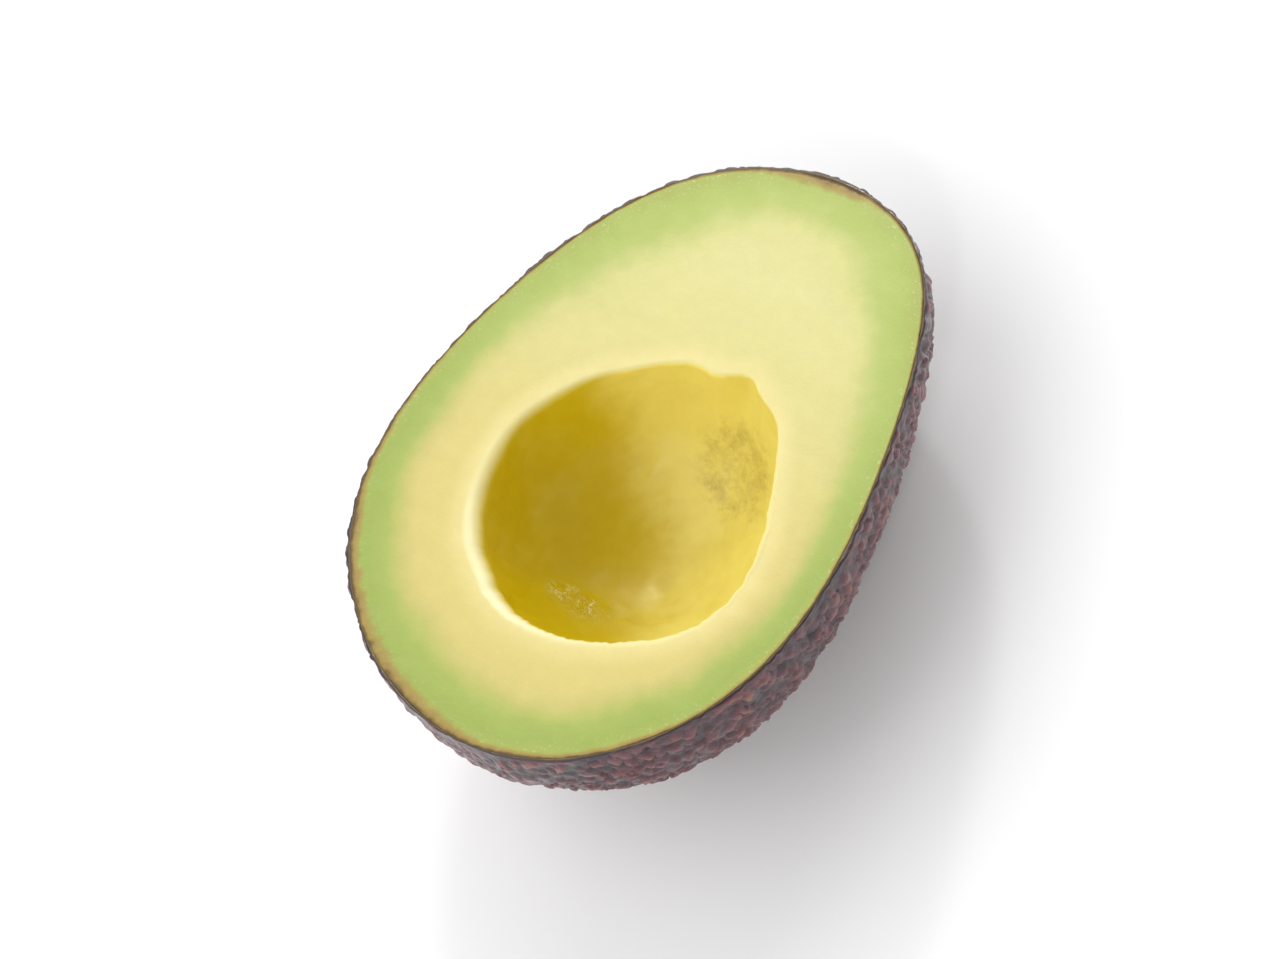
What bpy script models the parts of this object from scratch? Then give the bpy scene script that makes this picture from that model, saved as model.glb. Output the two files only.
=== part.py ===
"""Half an avocado, cut lengthwise and lying on its back, with its stone taken out.

The long axis runs along Y with the stem end towards +Y, X is across and Z is up.
The origin is on the floor below the middle of the fruit. All lengths are in metres.
"""

import math

import bmesh
import bpy
from mathutils import Matrix, Vector

# The fruit in its own frame: the cut face is the plane Z = 0, and the flesh is below it
LENGTH = 0.098  # stem end to blossom end
WIDTH = 0.0704  # across the cut face
BACK_DEPTH = 0.034  # cut face to the back, at the middle
TAPER = 0.167  # how much slimmer the stem half is than the blossom half
END_FULLNESS = 0.092  # how blunt both ends are
STEM_FULLNESS = 0.184  # how blunt the stem end is beside the blossom end
BOW = 0.003  # how far the ends lean sideways from the middle

# The hollow that the stone leaves
HOLLOW_CENTRE = Vector((0.0012, -0.0074, 0.0))
HOLLOW_WIDTH = 0.0434
HOLLOW_LENGTH = 0.0460
HOLLOW_DEPTH = 0.0210
HOLLOW_TAPER = 0.05

# How it rests
REST_TILT = math.radians(7.8)  # the slimmer stem half sinks until the weight is over the spot
SPOT_DEPTH = 0.0005  # how much the back gives where it rests

# Facets
FRUIT_SEGMENTS = 64
FRUIT_RINGS = 48
HOLLOW_SEGMENTS = 48
HOLLOW_RINGS = 24

FLESH_GREEN = (0.62, 0.66, 0.24, 1.0)


def unit_sphere(segments, rings):
    """A closed sphere of radius 1 whose poles lie on the Y axis."""
    ball = bmesh.new()
    pole_to_y = Matrix.Rotation(math.radians(-90.0), 4, "X")
    bmesh.ops.create_uvsphere(
        ball, u_segments=segments, v_segments=rings, radius=1.0, matrix=pole_to_y
    )
    return ball


def make_fruit():
    """The whole fruit: a sphere drawn out, slimmed towards the stem and slightly bowed."""
    fruit = unit_sphere(FRUIT_SEGMENTS, FRUIT_RINGS)
    for vert in fruit.verts:
        along = vert.co.y
        slimness = 1.0 - TAPER * along + END_FULLNESS * along**2 + STEM_FULLNESS * along**3
        vert.co = Vector((
            BOW * (along**2 - 0.5) + 0.5 * WIDTH * slimness * vert.co.x,
            0.5 * LENGTH * along,
            BACK_DEPTH * slimness * vert.co.z,
        ))
    return fruit


def slice_off(body, point, normal):
    """Cuts away what lies beyond a plane, and closes the cut with one flat face."""
    cut = bmesh.ops.bisect_plane(
        body,
        geom=body.verts[:] + body.edges[:] + body.faces[:],
        dist=1e-7,
        plane_co=point,
        plane_no=normal,
        clear_outer=True,
    )
    cut_edges = [item for item in cut["geom_cut"] if isinstance(item, bmesh.types.BMEdge)]
    bmesh.ops.edgeloop_fill(body, edges=cut_edges)
    bmesh.ops.recalc_face_normals(body, faces=body.faces)


def finish_object(name, body, sharp_angle=math.radians(30.0)):
    """Turns a finished body into an object that is smooth apart from its cut edges."""
    mesh = bpy.data.meshes.new(name)
    body.to_mesh(mesh)
    body.free()
    mesh.shade_smooth()
    mesh.set_sharp_from_angle(angle=sharp_angle)
    item = bpy.data.objects.new(name, mesh)
    bpy.context.scene.collection.objects.link(item)
    return item


def flesh_material():
    flesh = bpy.data.materials.new("ripe_flesh")
    flesh.use_nodes = True
    shader = flesh.node_tree.nodes["Principled BSDF"]
    shader.inputs["Base Color"].default_value = FLESH_GREEN
    shader.inputs["Roughness"].default_value = 0.45
    shader.inputs["Metallic"].default_value = 0.0
    return flesh


def make_stone_cutter():
    """The stone's shape, which the hollow keeps."""
    stone = unit_sphere(HOLLOW_SEGMENTS, HOLLOW_RINGS)
    for vert in stone.verts:
        slimness = 1.0 - HOLLOW_TAPER * vert.co.y
        vert.co = HOLLOW_CENTRE + Vector((
            0.5 * HOLLOW_WIDTH * slimness * vert.co.x,
            0.5 * HOLLOW_LENGTH * vert.co.y,
            HOLLOW_DEPTH * slimness * vert.co.z,
        ))
    cutter = finish_object("stone_cutter", stone)
    cutter.hide_render = True
    cutter.display_type = "WIRE"
    return cutter


def make_half():
    """The half fruit, set down on its flat spot with the hollow still to be cut."""
    tilt = Matrix.Rotation(-REST_TILT, 4, "X")
    body = make_fruit()
    slice_off(body, Vector((0.0, 0.0, 0.0)), Vector((0.0, 0.0, 1.0)))

    down = tilt.inverted() @ Vector((0.0, 0.0, -1.0))
    lowest = max(body.verts, key=lambda vert: vert.co.dot(down)).co
    slice_off(body, lowest - SPOT_DEPTH * down, down)

    lying = [tilt @ vert.co for vert in body.verts]
    lows = [min(point[i] for point in lying) for i in range(3)]
    highs = [max(point[i] for point in lying) for i in range(3)]
    middle_below = Vector((0.5 * (lows[0] + highs[0]), 0.5 * (lows[1] + highs[1]), lows[2]))

    half = finish_object("avocado_half", body)
    half.data.materials.append(flesh_material())
    half.matrix_world = Matrix.Translation(-middle_below) @ tilt
    return half


def main():
    for item in list(bpy.data.objects):
        bpy.data.objects.remove(item)

    half = make_half()
    stone_cutter = make_stone_cutter()
    stone_cutter.parent = half
    hollow = half.modifiers.new("stone_hollow", "BOOLEAN")
    hollow.operation = "DIFFERENCE"
    hollow.solver = "EXACT"
    hollow.object = stone_cutter


main()
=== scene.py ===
# Half an avocado, cut lengthwise and lying on its back, with its stone taken out.
# Two pieces stand for the one CAD solid: the pebbled skin and the flesh inside it.

import math

import bmesh
import bpy
import numpy as np
from mathutils import Matrix, Quaternion, Vector, noise


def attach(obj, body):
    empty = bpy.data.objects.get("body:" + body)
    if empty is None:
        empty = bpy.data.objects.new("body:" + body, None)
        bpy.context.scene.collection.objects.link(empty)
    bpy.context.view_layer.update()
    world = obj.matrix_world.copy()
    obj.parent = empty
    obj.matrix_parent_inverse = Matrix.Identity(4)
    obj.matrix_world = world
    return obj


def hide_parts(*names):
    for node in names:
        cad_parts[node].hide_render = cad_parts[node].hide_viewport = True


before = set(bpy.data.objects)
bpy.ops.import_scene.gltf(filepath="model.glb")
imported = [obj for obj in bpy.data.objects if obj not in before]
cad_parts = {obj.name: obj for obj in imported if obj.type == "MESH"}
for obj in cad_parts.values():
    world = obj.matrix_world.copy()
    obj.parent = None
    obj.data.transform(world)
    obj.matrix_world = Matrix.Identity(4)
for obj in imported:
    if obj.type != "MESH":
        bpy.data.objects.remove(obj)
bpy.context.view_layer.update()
noise.seed_set(11)  # noise_vector takes its offsets from the clock otherwise

mm = 0.001
cadNode = "avocado_half"

# The fruit in its own frame: the cut face is z = 0, the stem end is towards +Y and the back is below.
# These are the CAD's sizes, so both pieces fill its space.
fruit = {
    "length": 98.0 * mm,
    "width": 70.4 * mm,
    "backDepth": 34.0 * mm,
    "taper": 0.167,
    "endFullness": 0.092,
    "stemFullness": 0.184,
    "bow": 3.0 * mm,
    "restTilt": 7.8,            # degrees, stem end down
    "spotDepth": 0.5 * mm,      # how much the back gives where it rests
}


def fruitShape(ball, inset=0.0):
    # Turns points of a unit ball into points of the fruit, or of a smaller fruit inside it
    along = ball[:, 1]
    slimness = 1 - fruit["taper"] * along + fruit["endFullness"] * along**2 + fruit["stemFullness"] * along**3
    return np.column_stack((
        fruit["bow"] * (along**2 - 0.5) + (fruit["width"] / 2 * slimness - inset) * ball[:, 0],
        (fruit["length"] / 2 - inset) * along,
        (fruit["backDepth"] * slimness - inset) * ball[:, 2],
    ))


def smoothStep(low, high, values):
    share = np.clip((values - low) / (high - low), 0, 1)
    return share * share * (3 - 2 * share)


def getPoints(piece):
    points = np.empty(len(piece.data.vertices) * 3, np.float32)
    piece.data.vertices.foreach_get("co", points)
    return points.reshape(-1, 3).astype(float)


def setPoints(piece, points):
    piece.data.vertices.foreach_set("co", points.astype(np.float32).ravel())
    piece.data.update()


def getNormals(piece):
    normals = np.empty(len(piece.data.vertices) * 3, np.float32)
    piece.data.vertex_normals.foreach_get("vector", normals)
    return normals.reshape(-1, 3).astype(float)


def addAttribute(piece, name, values):
    layer = piece.data.attributes.new(name, "FLOAT", "POINT")
    layer.data.foreach_set("value", np.asarray(values, np.float32))


def getAttribute(piece, name):
    values = np.empty(len(piece.data.vertices), np.float32)
    piece.data.attributes[name].data.foreach_get("value", values)
    return values.astype(float)


def deselectAll():
    bpy.ops.object.select_all(action="DESELECT")


def startEditing(piece):
    deselectAll()
    piece.select_set(True)
    bpy.context.view_layer.objects.active = piece
    bpy.ops.object.mode_set(mode="EDIT")
    bpy.ops.mesh.select_mode(type="VERT")
    bpy.ops.mesh.select_all(action="DESELECT")


def stopEditing():
    bpy.ops.object.mode_set(mode="OBJECT")


def selectWhere(piece, test):
    # Selects the vertices whose place passes the test, and the edges between them
    mesh = bmesh.from_edit_mesh(piece.data)
    for vert in mesh.verts:
        vert.select_set(test(vert.co))
    mesh.select_flush(True)
    bmesh.update_edit_mesh(piece.data)


def addHalfBall(name, around, rows, upper=False, splits=0):
    # Half of a ball that is cut at its widest ring, with each face split in four as often as splits says
    deselectAll()
    bpy.ops.mesh.primitive_uv_sphere_add(segments=around, ring_count=2 * rows, radius=1)
    ball = bpy.context.object
    ball.name = name
    startEditing(ball)
    keepSide = 1 if upper else -1
    selectWhere(ball, lambda place: place.z * keepSide < -1e-4)
    bpy.ops.mesh.delete(type="VERT")
    stopEditing()
    if splits:
        finer = ball.modifiers.new("finer", "SUBSURF")
        finer.subdivision_type = "SIMPLE"
        finer.levels = finer.render_levels = splits
        bpy.ops.object.modifier_apply(modifier=finer.name)
        points = getPoints(ball)
        setPoints(ball, points / np.linalg.norm(points, axis=1)[:, None])
    return ball


def joinPieces(first, *others):
    deselectAll()
    for piece in (first, *others):
        piece.select_set(True)
    bpy.context.view_layer.objects.active = first
    bpy.ops.object.join()
    return first


def findPlace():
    # Tilts the fruit back onto its resting spot, with its middle over the origin, as the CAD's half lies
    tilt = Matrix.Rotation(math.radians(-fruit["restTilt"]), 4, "X")
    turns = np.radians(np.arange(0, 360, 0.5))
    rows = np.radians(np.arange(0, 90.5, 0.5))[:, None]
    ring = np.cos(rows)
    ball = np.stack((np.sin(turns) * ring, np.cos(turns) * ring, -np.sin(rows) + 0 * turns), -1)
    lying = fruitShape(ball.reshape(-1, 3)) @ np.array(tilt.to_3x3()).T
    low, high = lying.min(axis=0), lying.max(axis=0)
    middleBelow = Vector(((low[0] + high[0]) / 2, (low[1] + high[1]) / 2, low[2] + fruit["spotDepth"]))
    return Matrix.Translation(-middleBelow) @ tilt


fruitPlace = findPlace()


# What the knife left on the cut face: slow waves, and finer ripples that run across them
knifeMarks = {
    "waveHeight": 0.14 * mm,
    "waveLength": 17 * mm,
    "rippleHeight": 0.05 * mm,
    "rippleLength": 9 * mm,
}


def cutWaviness(points):
    heights = np.empty(len(points))
    for i, (x, y, z) in enumerate(points):
        wave = noise.noise(Vector((x, y, 0)) / knifeMarks["waveLength"])
        ripple = noise.noise(Vector((x + y, 3 * y, 0.01)) / knifeMarks["rippleLength"])
        heights[i] = knifeMarks["waveHeight"] * wave + knifeMarks["rippleHeight"] * ripple
    return heights


# Skin: the outer wall carries the pebbles, the inner wall is plain, and a narrow cut edge joins them
skinShape = {
    "thickness": 0.34 * mm,     # at the cut edge
    "thicker": 1.0 * mm,        # added to it below the edge, so the valleys never reach the flesh
    "thinnest": 0.12 * mm,      # what the deepest valleys leave of it
    "calmEdge": 3.0 * mm,       # how far below the cut edge the pebbles reach their full height
    "around": 160,              # faces round the cut edge, before each is split in 16
    "rows": 33,                 # rows of faces from the cut edge down to the resting spot
    "innerRows": 3,
    "splits": 2,
    "edgeCuts": 3,              # rows of points across the cut edge
    "pebbleSize": 1.8 * mm,     # from one pebble to the next
    "pebbleHeight": 0.95 * mm,
    "pebbleStretch": 0.86,      # below 1 draws the pebbles out along the fruit
    "fineHeight": 0.16,         # unevenness of each pebble, as a share of its height
    "endCalm": 0.45,            # how much lower the pebbles are at the two ends
    "lumpSize": 9.0 * mm,
    "lumpHeight": 0.42 * mm,
    "edgeDrop": 0.10 * mm,      # how far the cut edge is rolled down on its outer side
    "edgeNick": 0.30 * mm,      # how much further it is worn down in places
}


def skinInset(ball):
    # Depth of the skin's inner wall under the fruit's surface, thinnest at the cut edge
    below = -ball[:, 2] * fruit["backDepth"]
    return skinShape["thickness"] + skinShape["thicker"] * smoothStep(0, skinShape["calmEdge"], below)


def raisePebbles(points):
    # Rounded pebbles of uneven height that crowd together, on a gently lumpy wall
    size = skinShape["pebbleSize"]
    pebbles = np.empty(len(points))
    lumps = np.empty(len(points))
    for i, (x, y, z) in enumerate(points):
        spot = Vector((x / size, y / size * skinShape["pebbleStretch"], z / size))
        # Bends the pattern twice, slowly and finely, so that the pebbles stand in no rows
        spot += 0.7 * noise.noise_vector(spot * 0.5) + 0.22 * noise.noise_vector(spot * 2.1)
        distances, centres = noise.voronoi(spot)
        nearest, second = distances[0], distances[1]
        luck = 0.5 + 0.5 * noise.cell(centres[0] * 5)      # one value for each pebble, from 0 to 1
        dome = max(0.0, 1 - (nearest / (0.56 + 0.28 * luck)) ** 2)
        gap = min(1.0, (second - nearest) / 0.22)
        pebbles[i] = dome**0.75 * (0.45 + 0.55 * luck) * (0.35 + 0.65 * gap * (2 - gap))
        pebbles[i] += skinShape["fineHeight"] * noise.noise(spot * 2.3)
        lumps[i] = noise.noise(Vector((x, y, z)) / skinShape["lumpSize"])
    return pebbles, lumps


def makeSkin():
    outer = addHalfBall("skin", skinShape["around"], skinShape["rows"], splits=skinShape["splits"])
    ball = getPoints(outer)
    atEdge = ball[:, 2] > -1e-4
    setPoints(outer, fruitShape(ball))
    normals = getNormals(outer)
    normals[atEdge, 2] = 0
    points = getPoints(outer)
    pebbles, lumps = raisePebbles(points)

    # Pebbles flatten towards the two ends, where the skin is drawn tight
    endward = np.abs(ball[:, 1])
    strength = 1 - skinShape["endCalm"] * smoothStep(0.80, 1.0, endward)
    strength *= 0.5 + 0.5 * smoothStep(0, skinShape["calmEdge"], -ball[:, 2] * fruit["backDepth"])
    height = skinShape["pebbleHeight"] * strength * (pebbles - 0.3) + skinShape["lumpHeight"] * lumps
    height = np.maximum(height, skinShape["thinnest"] - skinInset(ball))
    setPoints(outer, points + normals * height[:, None])
    addAttribute(outer, "pebble", pebbles)
    addAttribute(outer, "cutEdge", np.zeros(len(points)))

    inner = addHalfBall("skinInside", skinShape["around"], skinShape["innerRows"], splits=skinShape["splits"])
    ball = getPoints(inner)
    setPoints(inner, fruitShape(ball, skinInset(ball)))
    inner.data.flip_normals()
    addAttribute(inner, "pebble", np.zeros(len(inner.data.vertices)))
    addAttribute(inner, "cutEdge", np.ones(len(inner.data.vertices)))

    skin = joinPieces(outer, inner)
    startEditing(skin)
    selectWhere(skin, lambda place: place.z > -1e-6)
    bpy.ops.mesh.select_mode(type="EDGE")
    bpy.ops.mesh.bridge_edge_loops(number_cuts=skinShape["edgeCuts"], interpolation="LINEAR")
    stopEditing()

    # The cut edge is a little lower and more ragged on its outer side, and follows the cut face inside
    points = getPoints(skin)
    onEdge = points[:, 2] > -1e-6
    across = getAttribute(skin, "cutEdge")[onEdge]
    wear = np.empty(len(across))
    for i, (x, y, z) in enumerate(points[onEdge]):
        nick = noise.noise(Vector((x, y, 0.3)) / (2.6 * mm))
        fineNick = noise.noise(Vector((x, y, 0.7)) / (1.1 * mm))
        wear[i] = max(0.0, nick + 0.5 * fineNick)
    drop = (1 - across) ** 2 * (skinShape["edgeDrop"] + skinShape["edgeNick"] * wear)
    points[onEdge, 2] += cutWaviness(points[onEdge]) - drop
    setPoints(skin, points)
    return skin


# Flesh: the cut face, the hollow that the stone left, and the plain side under the skin
fleshShape = {
    "around": 140,
    "rows": 28,                 # from the middle of the hollow out to the skin
    "underRows": 4,
    "splits": 2,
    "wallShare": 0.52,          # share of the rows on the hollow's wall
    "edgeShare": 0.60,          # share of the rows up to the end of its rounded edge
    "edgeRound": 0.6 * mm,
    "edgeRoundExtra": 1.5 * mm,     # added towards -X and the blossom end
    "hollowMiddle": (1.2 * mm, -7.4 * mm),
    "hollowWidth": 43.4 * mm,
    "hollowLength": 46.0 * mm,
    "hollowDepth": 21.0 * mm,
    "hollowTaper": 0.05,        # how much slimmer the hollow is towards the stem
    "lumpHeight": 0.42 * mm,    # unevenness of the hollow's wall: broad lumps, then small ones
    "lumpSize": 8.5 * mm,
    "grainHeight": 0.12 * mm,
    "grainSize": 2.4 * mm,
    "tearHeights": (0.26 * mm, 0.22 * mm),      # small tears along the hollow's edge, coarse and fine
    "underSkin": 0.03 * mm,     # the flesh stops just short of the skin
}

# Where the hollow's edge leaves its oval: degrees from the stem end, how far out in mm, and degrees of spread
edgeBulges = (
    (17, 1.4, 8), (4, -0.7, 7), (38, 0.8, 12), (-30, -0.9, 14),
    (-80, 0.9, 18), (-142, -0.5, 10), (70, -0.9, 18), (120, 1.8, 26),
)


def sumOfBulges(turns, bulges):
    # Adds smooth bulges, each given by its direction in degrees from the stem end, its height and its spread
    total = np.zeros(len(turns))
    for middle, height, spread in bulges:
        away = (np.degrees(turns) - middle + 180) % 360 - 180
        total += height * np.exp(-(away / spread) ** 2)
    return total


def edgeReach(turns):
    # How far the hollow's edge stands out from its oval, with small tears where the stone came out
    reach = mm * sumOfBulges(turns, edgeBulges)
    coarse, fine = fleshShape["tearHeights"]
    for i, turn in enumerate(turns):
        spot = Vector((math.sin(turn), math.cos(turn), 0.4))
        tearsAndRimHighlight = 0.5 + 0.5 * math.sin(turn - 0.6)
        reach[i] += tearsAndRimHighlight * (coarse * noise.noise(spot * 12) + fine * noise.noise(spot * 31))
    return reach


def makeFlesh():
    around, splits = fleshShape["around"], fleshShape["splits"]
    top = addHalfBall("flesh", around, fleshShape["rows"], upper=True, splits=splits)
    ball = getPoints(top)
    turns = np.arctan2(ball[:, 0], ball[:, 1])
    direction = np.column_stack((np.sin(turns), np.cos(turns)))
    out = 1 - np.arcsin(np.clip(ball[:, 2], -1, 1)) / (math.pi / 2)
    wallEnd, edgeEnd = fleshShape["wallShare"], fleshShape["edgeShare"]
    edgeRound = fleshShape["edgeRound"] + fleshShape["edgeRoundExtra"] * sumOfBulges(turns, ((-120, 1, 60),))

    # Hollow wall, then its rounded edge
    swing = np.clip(out / wallEnd, 0, 1) * math.pi / 2
    roll = np.clip((out - wallEnd) / (edgeEnd - wallEnd), 0, 1) * math.pi / 2
    reach = edgeReach(turns)
    halfSize = np.array((fleshShape["hollowWidth"], fleshShape["hollowLength"])) / 2
    slimness = 1 - fleshShape["hollowTaper"] * direction[:, 1]
    wallSize = halfSize * np.column_stack((slimness, np.ones(len(turns))))
    wallSize += (reach * np.sin(swing) ** 4 - edgeRound)[:, None]
    hollow = np.array(fleshShape["hollowMiddle"]) + direction * (
        wallSize * np.sin(swing)[:, None] + (edgeRound * (1 - np.cos(roll)))[:, None]
    )
    drop = (fleshShape["hollowDepth"] - edgeRound) * np.cos(swing) + edgeRound * (1 - np.sin(roll))

    # Cut face, from the hollow's edge out to the skin
    ring = np.column_stack((direction, np.zeros(len(turns))))
    outline = fruitShape(ring, skinShape["thickness"] + fleshShape["underSkin"])[:, :2]
    faceShare = np.clip((out - edgeEnd) / (1 - edgeEnd), 0, 1)
    flat = hollow + (outline - hollow) * faceShare[:, None]
    points = np.column_stack((flat, -drop))
    setPoints(top, points)

    gap = np.linalg.norm(outline - flat, axis=1) / mm
    faceWidth = np.linalg.norm(outline - hollow, axis=1) / mm
    addAttribute(top, "edgeGap", np.where(out > wallEnd, faceWidth * faceShare, 0))
    addAttribute(top, "inHollow", 1 - roll / (math.pi / 2))
    # Painted highlight: a narrow pale line is painted along the hollow's edge on the face, strongest towards
    # -X and the blossom end
    tearsAndRimHighlight = np.exp(-((faceWidth * faceShare / 0.45) ** 2)) * (0.15 + sumOfBulges(turns, ((-150, 0.75, 50),)))
    addAttribute(top, "paintedRimHighlight", np.where(out > wallEnd, tearsAndRimHighlight, 0))
    addAttribute(top, "greenShare", gap / greenWidth(turns))
    addAttribute(top, "brownShare", gap / brownWidth(turns))
    addAttribute(top, "stemward", points[:, 1] / (fruit["length"] / 2))
    addAttribute(top, "wallDepth", np.where(out < edgeEnd, 1 - np.sin(swing), 0))

    # Small unevenness: the knife's on the face, the seed coat's in the hollow
    normals = getNormals(top)
    onFace = faceShare > 0
    relief = np.where(onFace, cutWaviness(points), hollowRelief(points) * np.sin(swing * 0.5 + 0.8))
    blend = np.where(onFace, 1.0, 1 - smoothStep(0.0, 1.0, roll / (math.pi / 2)) * 0.8)
    setPoints(top, points + normals * (relief * blend)[:, None])

    under = addHalfBall("fleshUnder", around, fleshShape["underRows"], splits=splits)
    ball = getPoints(under)
    setPoints(under, fruitShape(ball, skinInset(ball) + fleshShape["underSkin"]))
    flesh = joinPieces(top, under)
    startEditing(flesh)
    selectWhere(flesh, lambda place: place.z > -0.4 * mm)
    bpy.ops.mesh.remove_doubles(threshold=0.1 * mm)
    stopEditing()
    return flesh


def greenWidth(turns):
    # Width of the green band in mm: broad at the blossom end and beside the stem end, narrow along the sides
    bulges = ((180, 2.0, 40), (-140, 0.5, 25), (-40, 6.0, 30), (40, 5.0, 34), (100, -0.8, 22))
    return 5.6 + sumOfBulges(turns, bulges)


def brownWidth(turns):
    # Width in mm of the browned line along the skin, widest at the stem end and beside the blossom end
    return 0.45 + sumOfBulges(turns, ((-160, 1.7, 24), (-125, 0.8, 20), (0, 1.6, 12), (150, 0.4, 20)))


def hollowRelief(points):
    heights = np.empty(len(points))
    for i, point in enumerate(points):
        lumps = noise.noise(Vector(point) / fleshShape["lumpSize"])
        grain = noise.noise(Vector(point) / fleshShape["grainSize"])
        heights[i] = fleshShape["lumpHeight"] * lumps + fleshShape["grainHeight"] * grain
    return heights


def hexColour(code):
    # An sRGB hex code as a linear colour
    channels = [int(code[i:i + 2], 16) / 255 for i in (1, 3, 5)]
    return (*(c / 12.92 if c <= 0.04045 else ((c + 0.055) / 1.055) ** 2.4 for c in channels), 1.0)


def addNode(tree, kind, inputs=None, stops=None, **settings):
    # Adds a node with its settings and colour stops. An input is a value, a colour, or what feeds it
    node = tree.nodes.new("ShaderNode" + kind)
    for name, value in settings.items():
        setattr(node, name, value)
    if stops:
        elements = node.color_ramp.elements
        while len(elements) < len(stops):
            elements.new(0.5)
        for element, (place, colour) in zip(elements, stops):
            element.position = place
            element.color = hexColour(colour)
    for name, value in (inputs or {}).items():
        if isinstance(value, bpy.types.Node):
            value = next(output for output in value.outputs if output.enabled)
        if isinstance(value, bpy.types.NodeSocket):
            tree.links.new(value, node.inputs[name])
        else:
            node.inputs[name].default_value = hexColour(value) if isinstance(value, str) else value
    return node


def newMaterial(name):
    material = bpy.data.materials.new(name)
    material.use_nodes = True
    tree = material.node_tree
    tree.nodes.clear()
    return material, tree


fleshColours = {
    "green": ("#9DA93F", "#92A83C", "#9CAE45", "#B0B552", "#C3B963", "#D0C16C", "#D4C46F"),
    "stemGreen": ("#9FAB46", "#A5B650", "#AFBD5D", "#BEC46F", "#CFCD80", "#D3CF87", "#D6D18A"),
    "hollowEdge": "#E7D993",
    # painted highlight along the hollow's edge
    "paintedRimHighlight": "#EEE7B3",
    "skinLine": "#54401C",
    "browned": "#A3843A",
    "hollowDeep": "#CDB300",
    # pale colour for the hollow's streaks, and painted light on its lit side
    "hollowPaleAndLit": "#EAD96C",
    "seedCoat": "#94742A",
    # painted glints on the scuffed patch
    "glintPaint": "#F6EDB4",
    # painted highlight of wet juice near the skin
    "paintedWetSparkle": "#EDF3CF",
}


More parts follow.
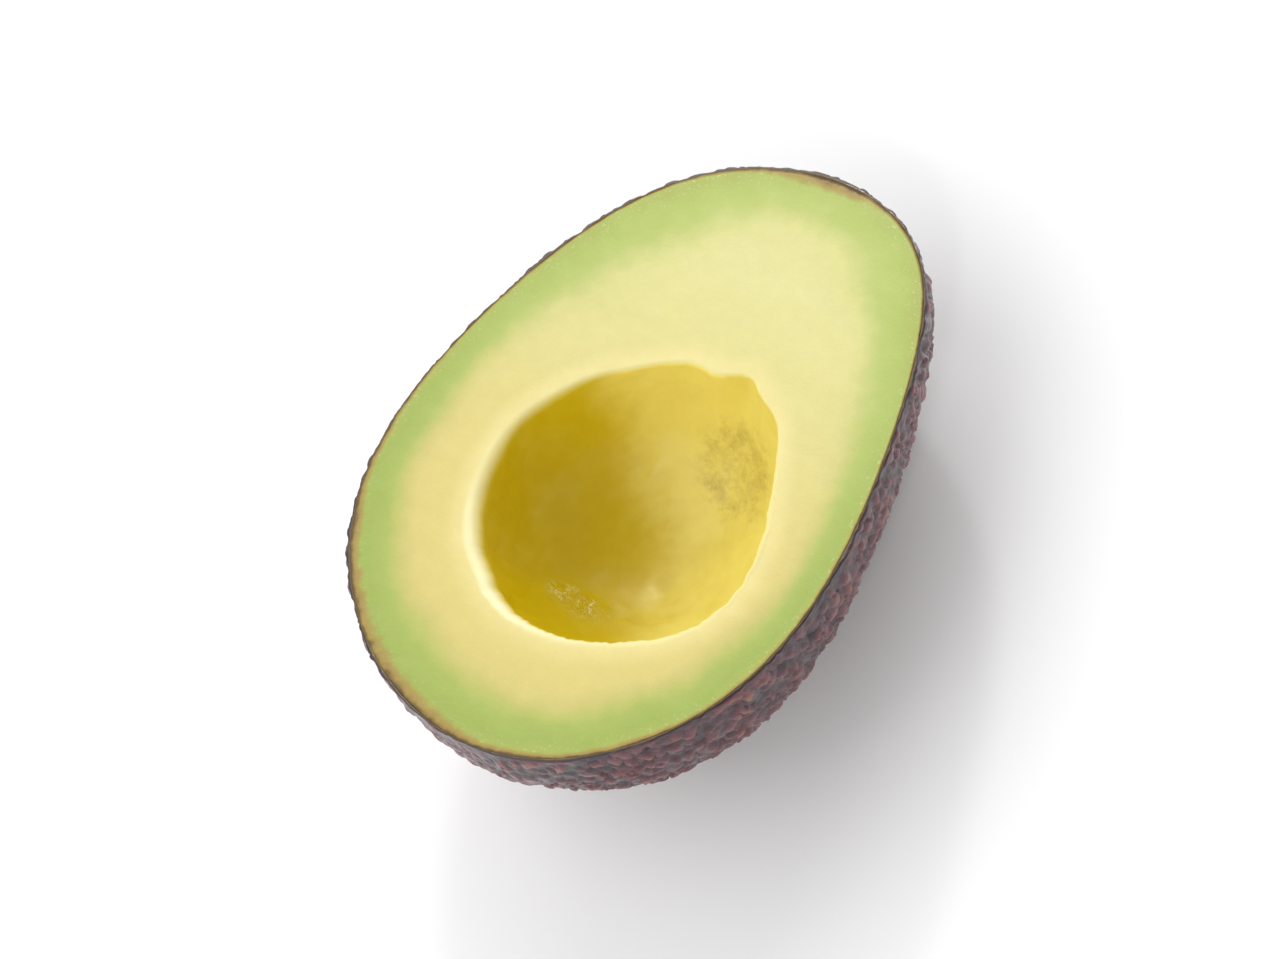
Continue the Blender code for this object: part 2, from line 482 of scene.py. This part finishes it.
def makeFleshMaterial():
    # Ripe avocado flesh cut with a knife: oily and slightly see-through, so it glows with a soft wet sheen
    material, tree = newMaterial("ripeAvocadoFlesh")
    place = addNode(tree, "TexCoord").outputs["Object"]
    colours = fleshColours
    marks = {
        name: addNode(tree, "Attribute", attribute_name=name).outputs["Fac"]
        for name in ("greenShare", "stemward", "edgeGap", "paintedRimHighlight", "brownShare", "inHollow", "wallDepth",
                     "paintedLitSide", "coatTraces", "scuffed")
    }
    patterns = {
        name: addNode(tree, "TexNoise", {
            "Vector": place, "Scale": 1 / (size * mm), "Detail": detail, "Roughness": roughness})
        for name, size, detail, roughness in (
            ("clouds", 9, 3, 0.55), ("mottle", 2.2, 4, 0.55), ("grain", 0.5, 2, 0.55), ("coat", 2.4, 8, 0.78),
            ("paintedGlintLines", 2.2, 6, 0.75), ("breaks", 1.1, 2, 0.55), ("scuffs", 0.9, 3, 0.9))
    }
    clouds, mottle = patterns["clouds"], patterns["mottle"]

    # The green band fades to cream over a wandering border, and all of it is paler towards the stem
    green = addNode(tree, "Math", {0: mottle, 1: 0.10, 2: marks["greenShare"]}, operation="MULTIPLY_ADD")
    green = addNode(tree, "Math", {0: clouds, 1: 0.6, 2: green}, operation="MULTIPLY_ADD")
    green = addNode(tree, "MapRange", {"Value": green, "From Min": 0.35, "From Max": 2.35})
    places = (0.02, 0.17, 0.36, 0.47, 0.58, 0.72, 0.95)
    bands = [
        addNode(tree, "ValToRGB", {"Fac": green}, stops=list(zip(places, colours[name])))
        for name in ("stemGreen", "green")
    ]

    # Painted highlights: small pale sparkles are painted near the skin for wet juice catching the light, and
    # a browned line along it is broken up by the mottling
    nearSkin = addNode(tree, "MapRange", {
        "Value": marks["greenShare"], "From Min": 0.05, "From Max": 0.6, "To Min": 0.30, "To Max": 0.0})
    paintedSparkleSpots = addNode(tree, "Math", {0: patterns["grain"], 1: 0.63}, operation="GREATER_THAN")
    paintedSparkleSpots = addNode(tree, "Math", {0: paintedSparkleSpots, 1: nearSkin}, operation="MULTIPLY")
    brown = addNode(tree, "Math", {0: clouds, 1: 0.5, 2: marks["brownShare"]}, operation="MULTIPLY_ADD")
    brown = addNode(tree, "Math", {0: mottle, 1: 1.2, 2: brown}, operation="MULTIPLY_ADD")

    # The hollow is streaked round by the stone, and traces of seed coat cling to its stem side. Its wall also
    # has painted light: it is painted paler on its lit side, and deeper yellow further down as painted shade.
    deeper = addNode(tree, "CombineXYZ", {"X": marks["wallDepth"]})
    deeper = addNode(tree, "VectorMath", {0: deeper, 1: (11.0, 0.0, 0.0)}, operation="MULTIPLY")
    wall = addNode(tree, "VectorMath", {0: place, 1: (60.0, 60.0, 0.0), 2: deeper}, operation="MULTIPLY_ADD")
    bends = addNode(tree, "TexNoise", {"Vector": place, "Scale": 1 / (12 * mm), "Detail": 2.0})
    bends = bends.outputs["Color"]
    wall = addNode(tree, "VectorMath", {0: bends, 1: (3.0, 2.0, 2.0), 2: wall}, operation="MULTIPLY_ADD")
    streaks = addNode(tree, "TexNoise", {"Vector": wall, "Scale": 1.0, "Detail": 4.0, "Roughness": 0.6})
    # painted light: paler on the lit side, and painted shade deeper down the wall, over the real streaks and
    # clouds
    streaksAndPaintedLight = addNode(tree, "Math", {0: clouds, 1: 0.9, 2: marks["paintedLitSide"]}, operation="MULTIPLY_ADD")
    streaksAndPaintedLight = addNode(tree, "Math", {0: streaks, 1: 0.45, 2: streaksAndPaintedLight}, operation="MULTIPLY_ADD")
    streaksAndPaintedLight = addNode(tree, "Math", {0: marks["wallDepth"], 1: -0.35, 2: streaksAndPaintedLight}, operation="MULTIPLY_ADD")
    coat = addNode(tree, "Math", {0: patterns["coat"], 1: marks["coatTraces"]}, operation="MULTIPLY")

    # Painted highlights: fine pale glint lines are painted across the scuffed patch here and there
    paintedGlintLines = addNode(tree, "Math", {0: patterns["paintedGlintLines"], 1: 0.5, 2: 0.022}, operation="COMPARE")
    breaks = addNode(tree, "Math", {0: patterns["breaks"], 1: 0.52}, operation="GREATER_THAN")
    paintedGlintLines = addNode(tree, "Math", {0: paintedGlintLines, 1: breaks}, operation="MULTIPLY")
    paintedGlintLines = addNode(tree, "Math", {0: paintedGlintLines, 1: marks["scuffed"]}, operation="MULTIPLY")

    # Each layer goes over the last: its driver, two values of it, the strength at each, and the colour
    surfaces = []
    for surface, layers in (
        (bands[0], (
            (marks["stemward"], -0.35, 0.75, 1.0, 0.0, bands[1]),
            (marks["edgeGap"], 0.0, 4.0, 0.65, 0.0, colours["hollowEdge"]),
            # painted highlight along the hollow's edge
            (marks["paintedRimHighlight"], -0.2, 1.2, 0.0, 1.0, colours["paintedRimHighlight"]),
            (paintedSparkleSpots, 0.0, 1.0, 0.0, 1.0, colours["paintedWetSparkle"]),
            (brown, 1.25, 2.1, 0.92, 0.0, colours["browned"]),
            (brown, 0.85, 1.35, 0.85, 0.0, colours["skinLine"]),
        )),
        (colours["hollowDeep"], (
            (streaksAndPaintedLight, 0.575, 1.575, 0.0, 1.0, colours["hollowPaleAndLit"]),
            (coat, 0.40, 0.95, 0.0, 0.55, colours["seedCoat"]),
            (paintedGlintLines, 0.0, 1.0, 0.0, 0.6, colours["glintPaint"]),
        )),
    ):
        for driver, low, high, atLow, atHigh, colour in layers:
            share = addNode(tree, "MapRange", {
                "Value": driver, "From Min": low, "From Max": high, "To Min": atLow, "To Max": atHigh},
                interpolation_type="SMOOTHSTEP")
            surface = addNode(tree, "Mix", {0: share, 6: surface, 7: colour}, data_type="RGBA")
        surfaces.append(surface)
    face, hollow = surfaces
    inside = addNode(tree, "MapRange", {"Value": marks["inHollow"], "From Min": 0.15, "From Max": 0.95},
                     interpolation_type="SMOOTHSTEP")
    whole = addNode(tree, "Mix", {0: inside, 6: face, 7: hollow}, data_type="RGBA")
    shade = addNode(tree, "MapRange", {
        "Value": mottle, "From Min": 0.25, "From Max": 0.75, "To Min": 0.975, "To Max": 1.015})
    whole = addNode(tree, "VectorMath", {0: whole, 1: shade}, operation="MULTIPLY")

    # Fine grain everywhere, and the scuffed patch low in the hollow catches the light
    scuffs = addNode(tree, "Math", {0: patterns["scuffs"], 1: marks["scuffed"]}, operation="MULTIPLY")
    height = addNode(tree, "Math", {0: scuffs, 1: 30.0, 2: patterns["grain"]}, operation="MULTIPLY_ADD")
    height = addNode(tree, "Math", {0: mottle, 1: 2.5, 2: height}, operation="MULTIPLY_ADD")
    height = addNode(tree, "Math", {0: streaks, 1: 0.8, 2: height}, operation="MULTIPLY_ADD")
    bump = addNode(tree, "Bump", {"Height": height, "Strength": 0.30, "Distance": 0.07 * mm})
    rough = addNode(tree, "MapRange", {"Value": marks["scuffed"], "To Min": 0.42, "To Max": 0.22})
    shader = addNode(tree, "BsdfPrincipled", {
        "Base Color": whole, "Roughness": rough, "IOR": 1.42, "Normal": bump,
        "Subsurface Weight": 0.30, "Subsurface Radius": (1.0, 0.75, 0.20), "Subsurface Scale": 2.0 * mm,
        "Coat Weight": 0.10, "Coat Roughness": 0.20,
    })
    addNode(tree, "OutputMaterial", {"Surface": shader})
    return material


skinColours = {
    "valley": "#180B12",
    "side": "#401B27",
    "top": "#692F36",
    "fleck": "#7F4D3C",
    "edgeDark": "#1E120F",
    "edgeInner": "#6A4E22",
}


def makeSkinMaterial():
    # Ripe pebbled avocado skin: leathery, purple-brown in the valleys, redder on the tops, with a waxy sheen
    material, tree = newMaterial("ripeAvocadoSkin")
    place = addNode(tree, "TexCoord").outputs["Object"]
    colours = skinColours
    pebble = addNode(tree, "Attribute", attribute_name="pebble").outputs["Fac"]
    cutEdge = addNode(tree, "Attribute", attribute_name="cutEdge").outputs["Fac"]

    wrinkles = addNode(tree, "TexNoise", {
        "Vector": place, "Scale": 1 / (0.8 * mm), "Detail": 5.0, "Roughness": 0.65})
    patches = addNode(tree, "TexNoise", {"Vector": place, "Scale": 1 / (8 * mm), "Detail": 4.0})
    tone = addNode(tree, "Math", {0: wrinkles, 1: 0.45, 2: pebble}, operation="MULTIPLY_ADD")
    tone = addNode(tree, "Math", {0: patches, 1: 0.7, 2: tone}, operation="MULTIPLY_ADD")
    tone = addNode(tree, "MapRange", {"Value": tone, "From Min": 0.40, "From Max": 1.50})
    wall = addNode(tree, "ValToRGB", {"Fac": tone}, stops=(
        (0.05, colours["valley"]), (0.38, colours["side"]), (0.78, colours["top"]), (1.0, colours["fleck"])))

    # The cut edge is dark outside and olive next to the flesh
    inner = addNode(tree, "MapRange", {"Value": cutEdge, "From Min": 0.45, "From Max": 1.0})
    edge = addNode(tree, "Mix", {0: inner, 6: colours["edgeDark"], 7: colours["edgeInner"]}, data_type="RGBA")
    onEdge = addNode(tree, "MapRange", {"Value": cutEdge, "From Min": 0.0, "From Max": 0.25})
    whole = addNode(tree, "Mix", {0: onEdge, 6: wall, 7: edge}, data_type="RGBA")

    rough = addNode(tree, "MapRange", {"Value": wrinkles, "To Min": 0.22, "To Max": 0.44})
    bump = addNode(tree, "Bump", {"Height": wrinkles, "Strength": 0.9, "Distance": 0.28 * mm})
    shader = addNode(tree, "BsdfPrincipled", {
        "Base Color": whole, "Roughness": rough, "IOR": 1.45, "Normal": bump,
        "Coat Weight": 0.55, "Coat Roughness": 0.12,
    })
    addNode(tree, "OutputMaterial", {"Surface": shader})
    return material


def finishPiece(piece, material):
    # Sets the piece down where the CAD's half lies, and hands it to the frame
    piece.data.transform(fruitPlace)
    points = getPoints(piece)
    points[:, 2] = np.maximum(points[:, 2], 0)     # nothing sinks below the surface it rests on
    setPoints(piece, points)
    piece.data.shade_smooth()
    piece.data.materials.clear()
    piece.data.materials.append(material)
    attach(piece, "root")
    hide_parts(cadNode)


# Where seed coat clings to the wall, and where prising out the stone scuffed it: middle and size in mm
hollowMarks = {
    "coatTraces": ((6, 8.5, -14), (12, 12, 12)),
    "scuffed": ((-6.5, -17.0, -17), (5.5, 2.4, 4)),
}


def markHollow(flesh):
    points = getPoints(flesh) / mm
    for name, (middle, size) in hollowMarks.items():
        away = np.linalg.norm((points - np.array(middle)) / np.array(size), axis=1)
        addAttribute(flesh, name, 1.2 * (1 - smoothStep(0.4, 1.2, away)))

    # Painted light: the wall is painted paler on its lit side, towards +X and the stem
    across = 0.87 * points[:, 0] + 0.49 * (points[:, 1] - fleshShape["hollowMiddle"][1] / mm)
    addAttribute(flesh, "paintedLitSide", smoothStep(-9, 6, across))


skin = makeSkin()
print("skin made:", len(skin.data.polygons), "faces")
flesh = makeFlesh()
markHollow(flesh)
print("flesh made:", len(flesh.data.polygons), "faces")
finishPiece(skin, makeSkinMaterial())
finishPiece(flesh, makeFleshMaterial())
print("materials made")


# Stage: floor, soft lights and camera
stage = {
    "floorHalf": 12.0,
    "floorColour": "#FCFCFC",
    "wallBrightness": 1.0,
    "wallTop": 12,              # degrees above the floor, up to which the studio's walls reach
    "ceilingBrightness": 0.24,
    "ceilingFrom": 45,          # degrees above the floor, from which its ceiling starts
}
# Each soft light's name, the azimuth and elevation it shines from, its width in degrees, and its strength
softLights = (
    ("backSoftbox", -150, 35, 55, 1.25),
    ("backLamp", -150, 38, 7, 0.42),
    ("topSoftbox", -60, 60, 55, 1.06),
    ("frontSoftbox", 0, 35, 55, 0.70),
    ("frontLamp", 35, 48, 5, 0.22),
)
cameraView = {
    "azimuth": 61.8,
    "elevation": 57.5,
    "roll": -37.1,
    "distance": 0.644,
    "lens": 135.0,
    "sensorWidth": 36.0,
    "aim": (2.9 * mm, -4.2 * mm, 33.8 * mm),
}


def directionFrom(azimuth, elevation):
    turn, rise = math.radians(azimuth), math.radians(elevation)
    return Vector((math.sin(turn) * math.cos(rise), -math.cos(turn) * math.cos(rise), math.sin(rise)))


def makeStage():
    deselectAll()
    bpy.ops.mesh.primitive_plane_add(size=2 * stage["floorHalf"], location=(0, 0, 0))
    floor = bpy.context.object
    floor.name = "floor"
    material, tree = newMaterial("matteBacking")
    shader = addNode(tree, "BsdfPrincipled", {
        "Base Color": stage["floorColour"], "Roughness": 0.9, "Specular IOR Level": 0.1})
    addNode(tree, "OutputMaterial", {"Surface": shader})
    floor.data.materials.append(material)

    world = bpy.data.worlds.new("paleStudio")
    bpy.context.scene.world = world
    world.use_nodes = True
    tree = world.node_tree
    direction = addNode(tree, "TexCoord").outputs["Generated"]
    rise = addNode(tree, "SeparateXYZ", {"Vector": direction}).outputs["Z"]
    wallTop, ceilingFrom = (math.sin(math.radians(stage[name])) for name in ("wallTop", "ceilingFrom"))
    brightness = addNode(tree, "MapRange", {
        "Value": rise, "From Min": wallTop, "From Max": ceilingFrom,
        "To Min": stage["wallBrightness"], "To Max": stage["ceilingBrightness"]})
    tree.nodes["Background"].inputs["Color"].default_value = (1, 1, 1, 1)
    tree.links.new(brightness.outputs[0], tree.nodes["Background"].inputs["Strength"])

    for name, azimuth, elevation, width, strength in softLights:
        lamp = bpy.data.lights.new(name, "SUN")
        lamp.angle = math.radians(width)
        lamp.energy = strength
        holder = bpy.data.objects.new(name, lamp)
        bpy.context.scene.collection.objects.link(holder)
        towards = directionFrom(azimuth, elevation)
        holder.location = towards
        holder.rotation_mode = "QUATERNION"
        holder.rotation_quaternion = towards.to_track_quat("Z", "Y")


def makeCamera():
    lens = bpy.data.cameras.new("camera")
    lens.lens = cameraView["lens"]
    lens.sensor_width = cameraView["sensorWidth"]
    camera = bpy.data.objects.new("camera", lens)
    bpy.context.scene.collection.objects.link(camera)
    back = directionFrom(cameraView["azimuth"], cameraView["elevation"])
    camera.location = Vector(cameraView["aim"]) + cameraView["distance"] * back
    camera.rotation_mode = "QUATERNION"
    roll = Quaternion((0, 0, 1), math.radians(cameraView["roll"]))
    camera.rotation_quaternion = back.to_track_quat("Z", "Y") @ roll
    lens.clip_start, lens.clip_end = 0.01, 50
    bpy.context.scene.camera = camera


makeStage()
makeCamera()
bpy.context.scene.view_settings.view_transform = "Standard"
print("stage, lights and camera made")
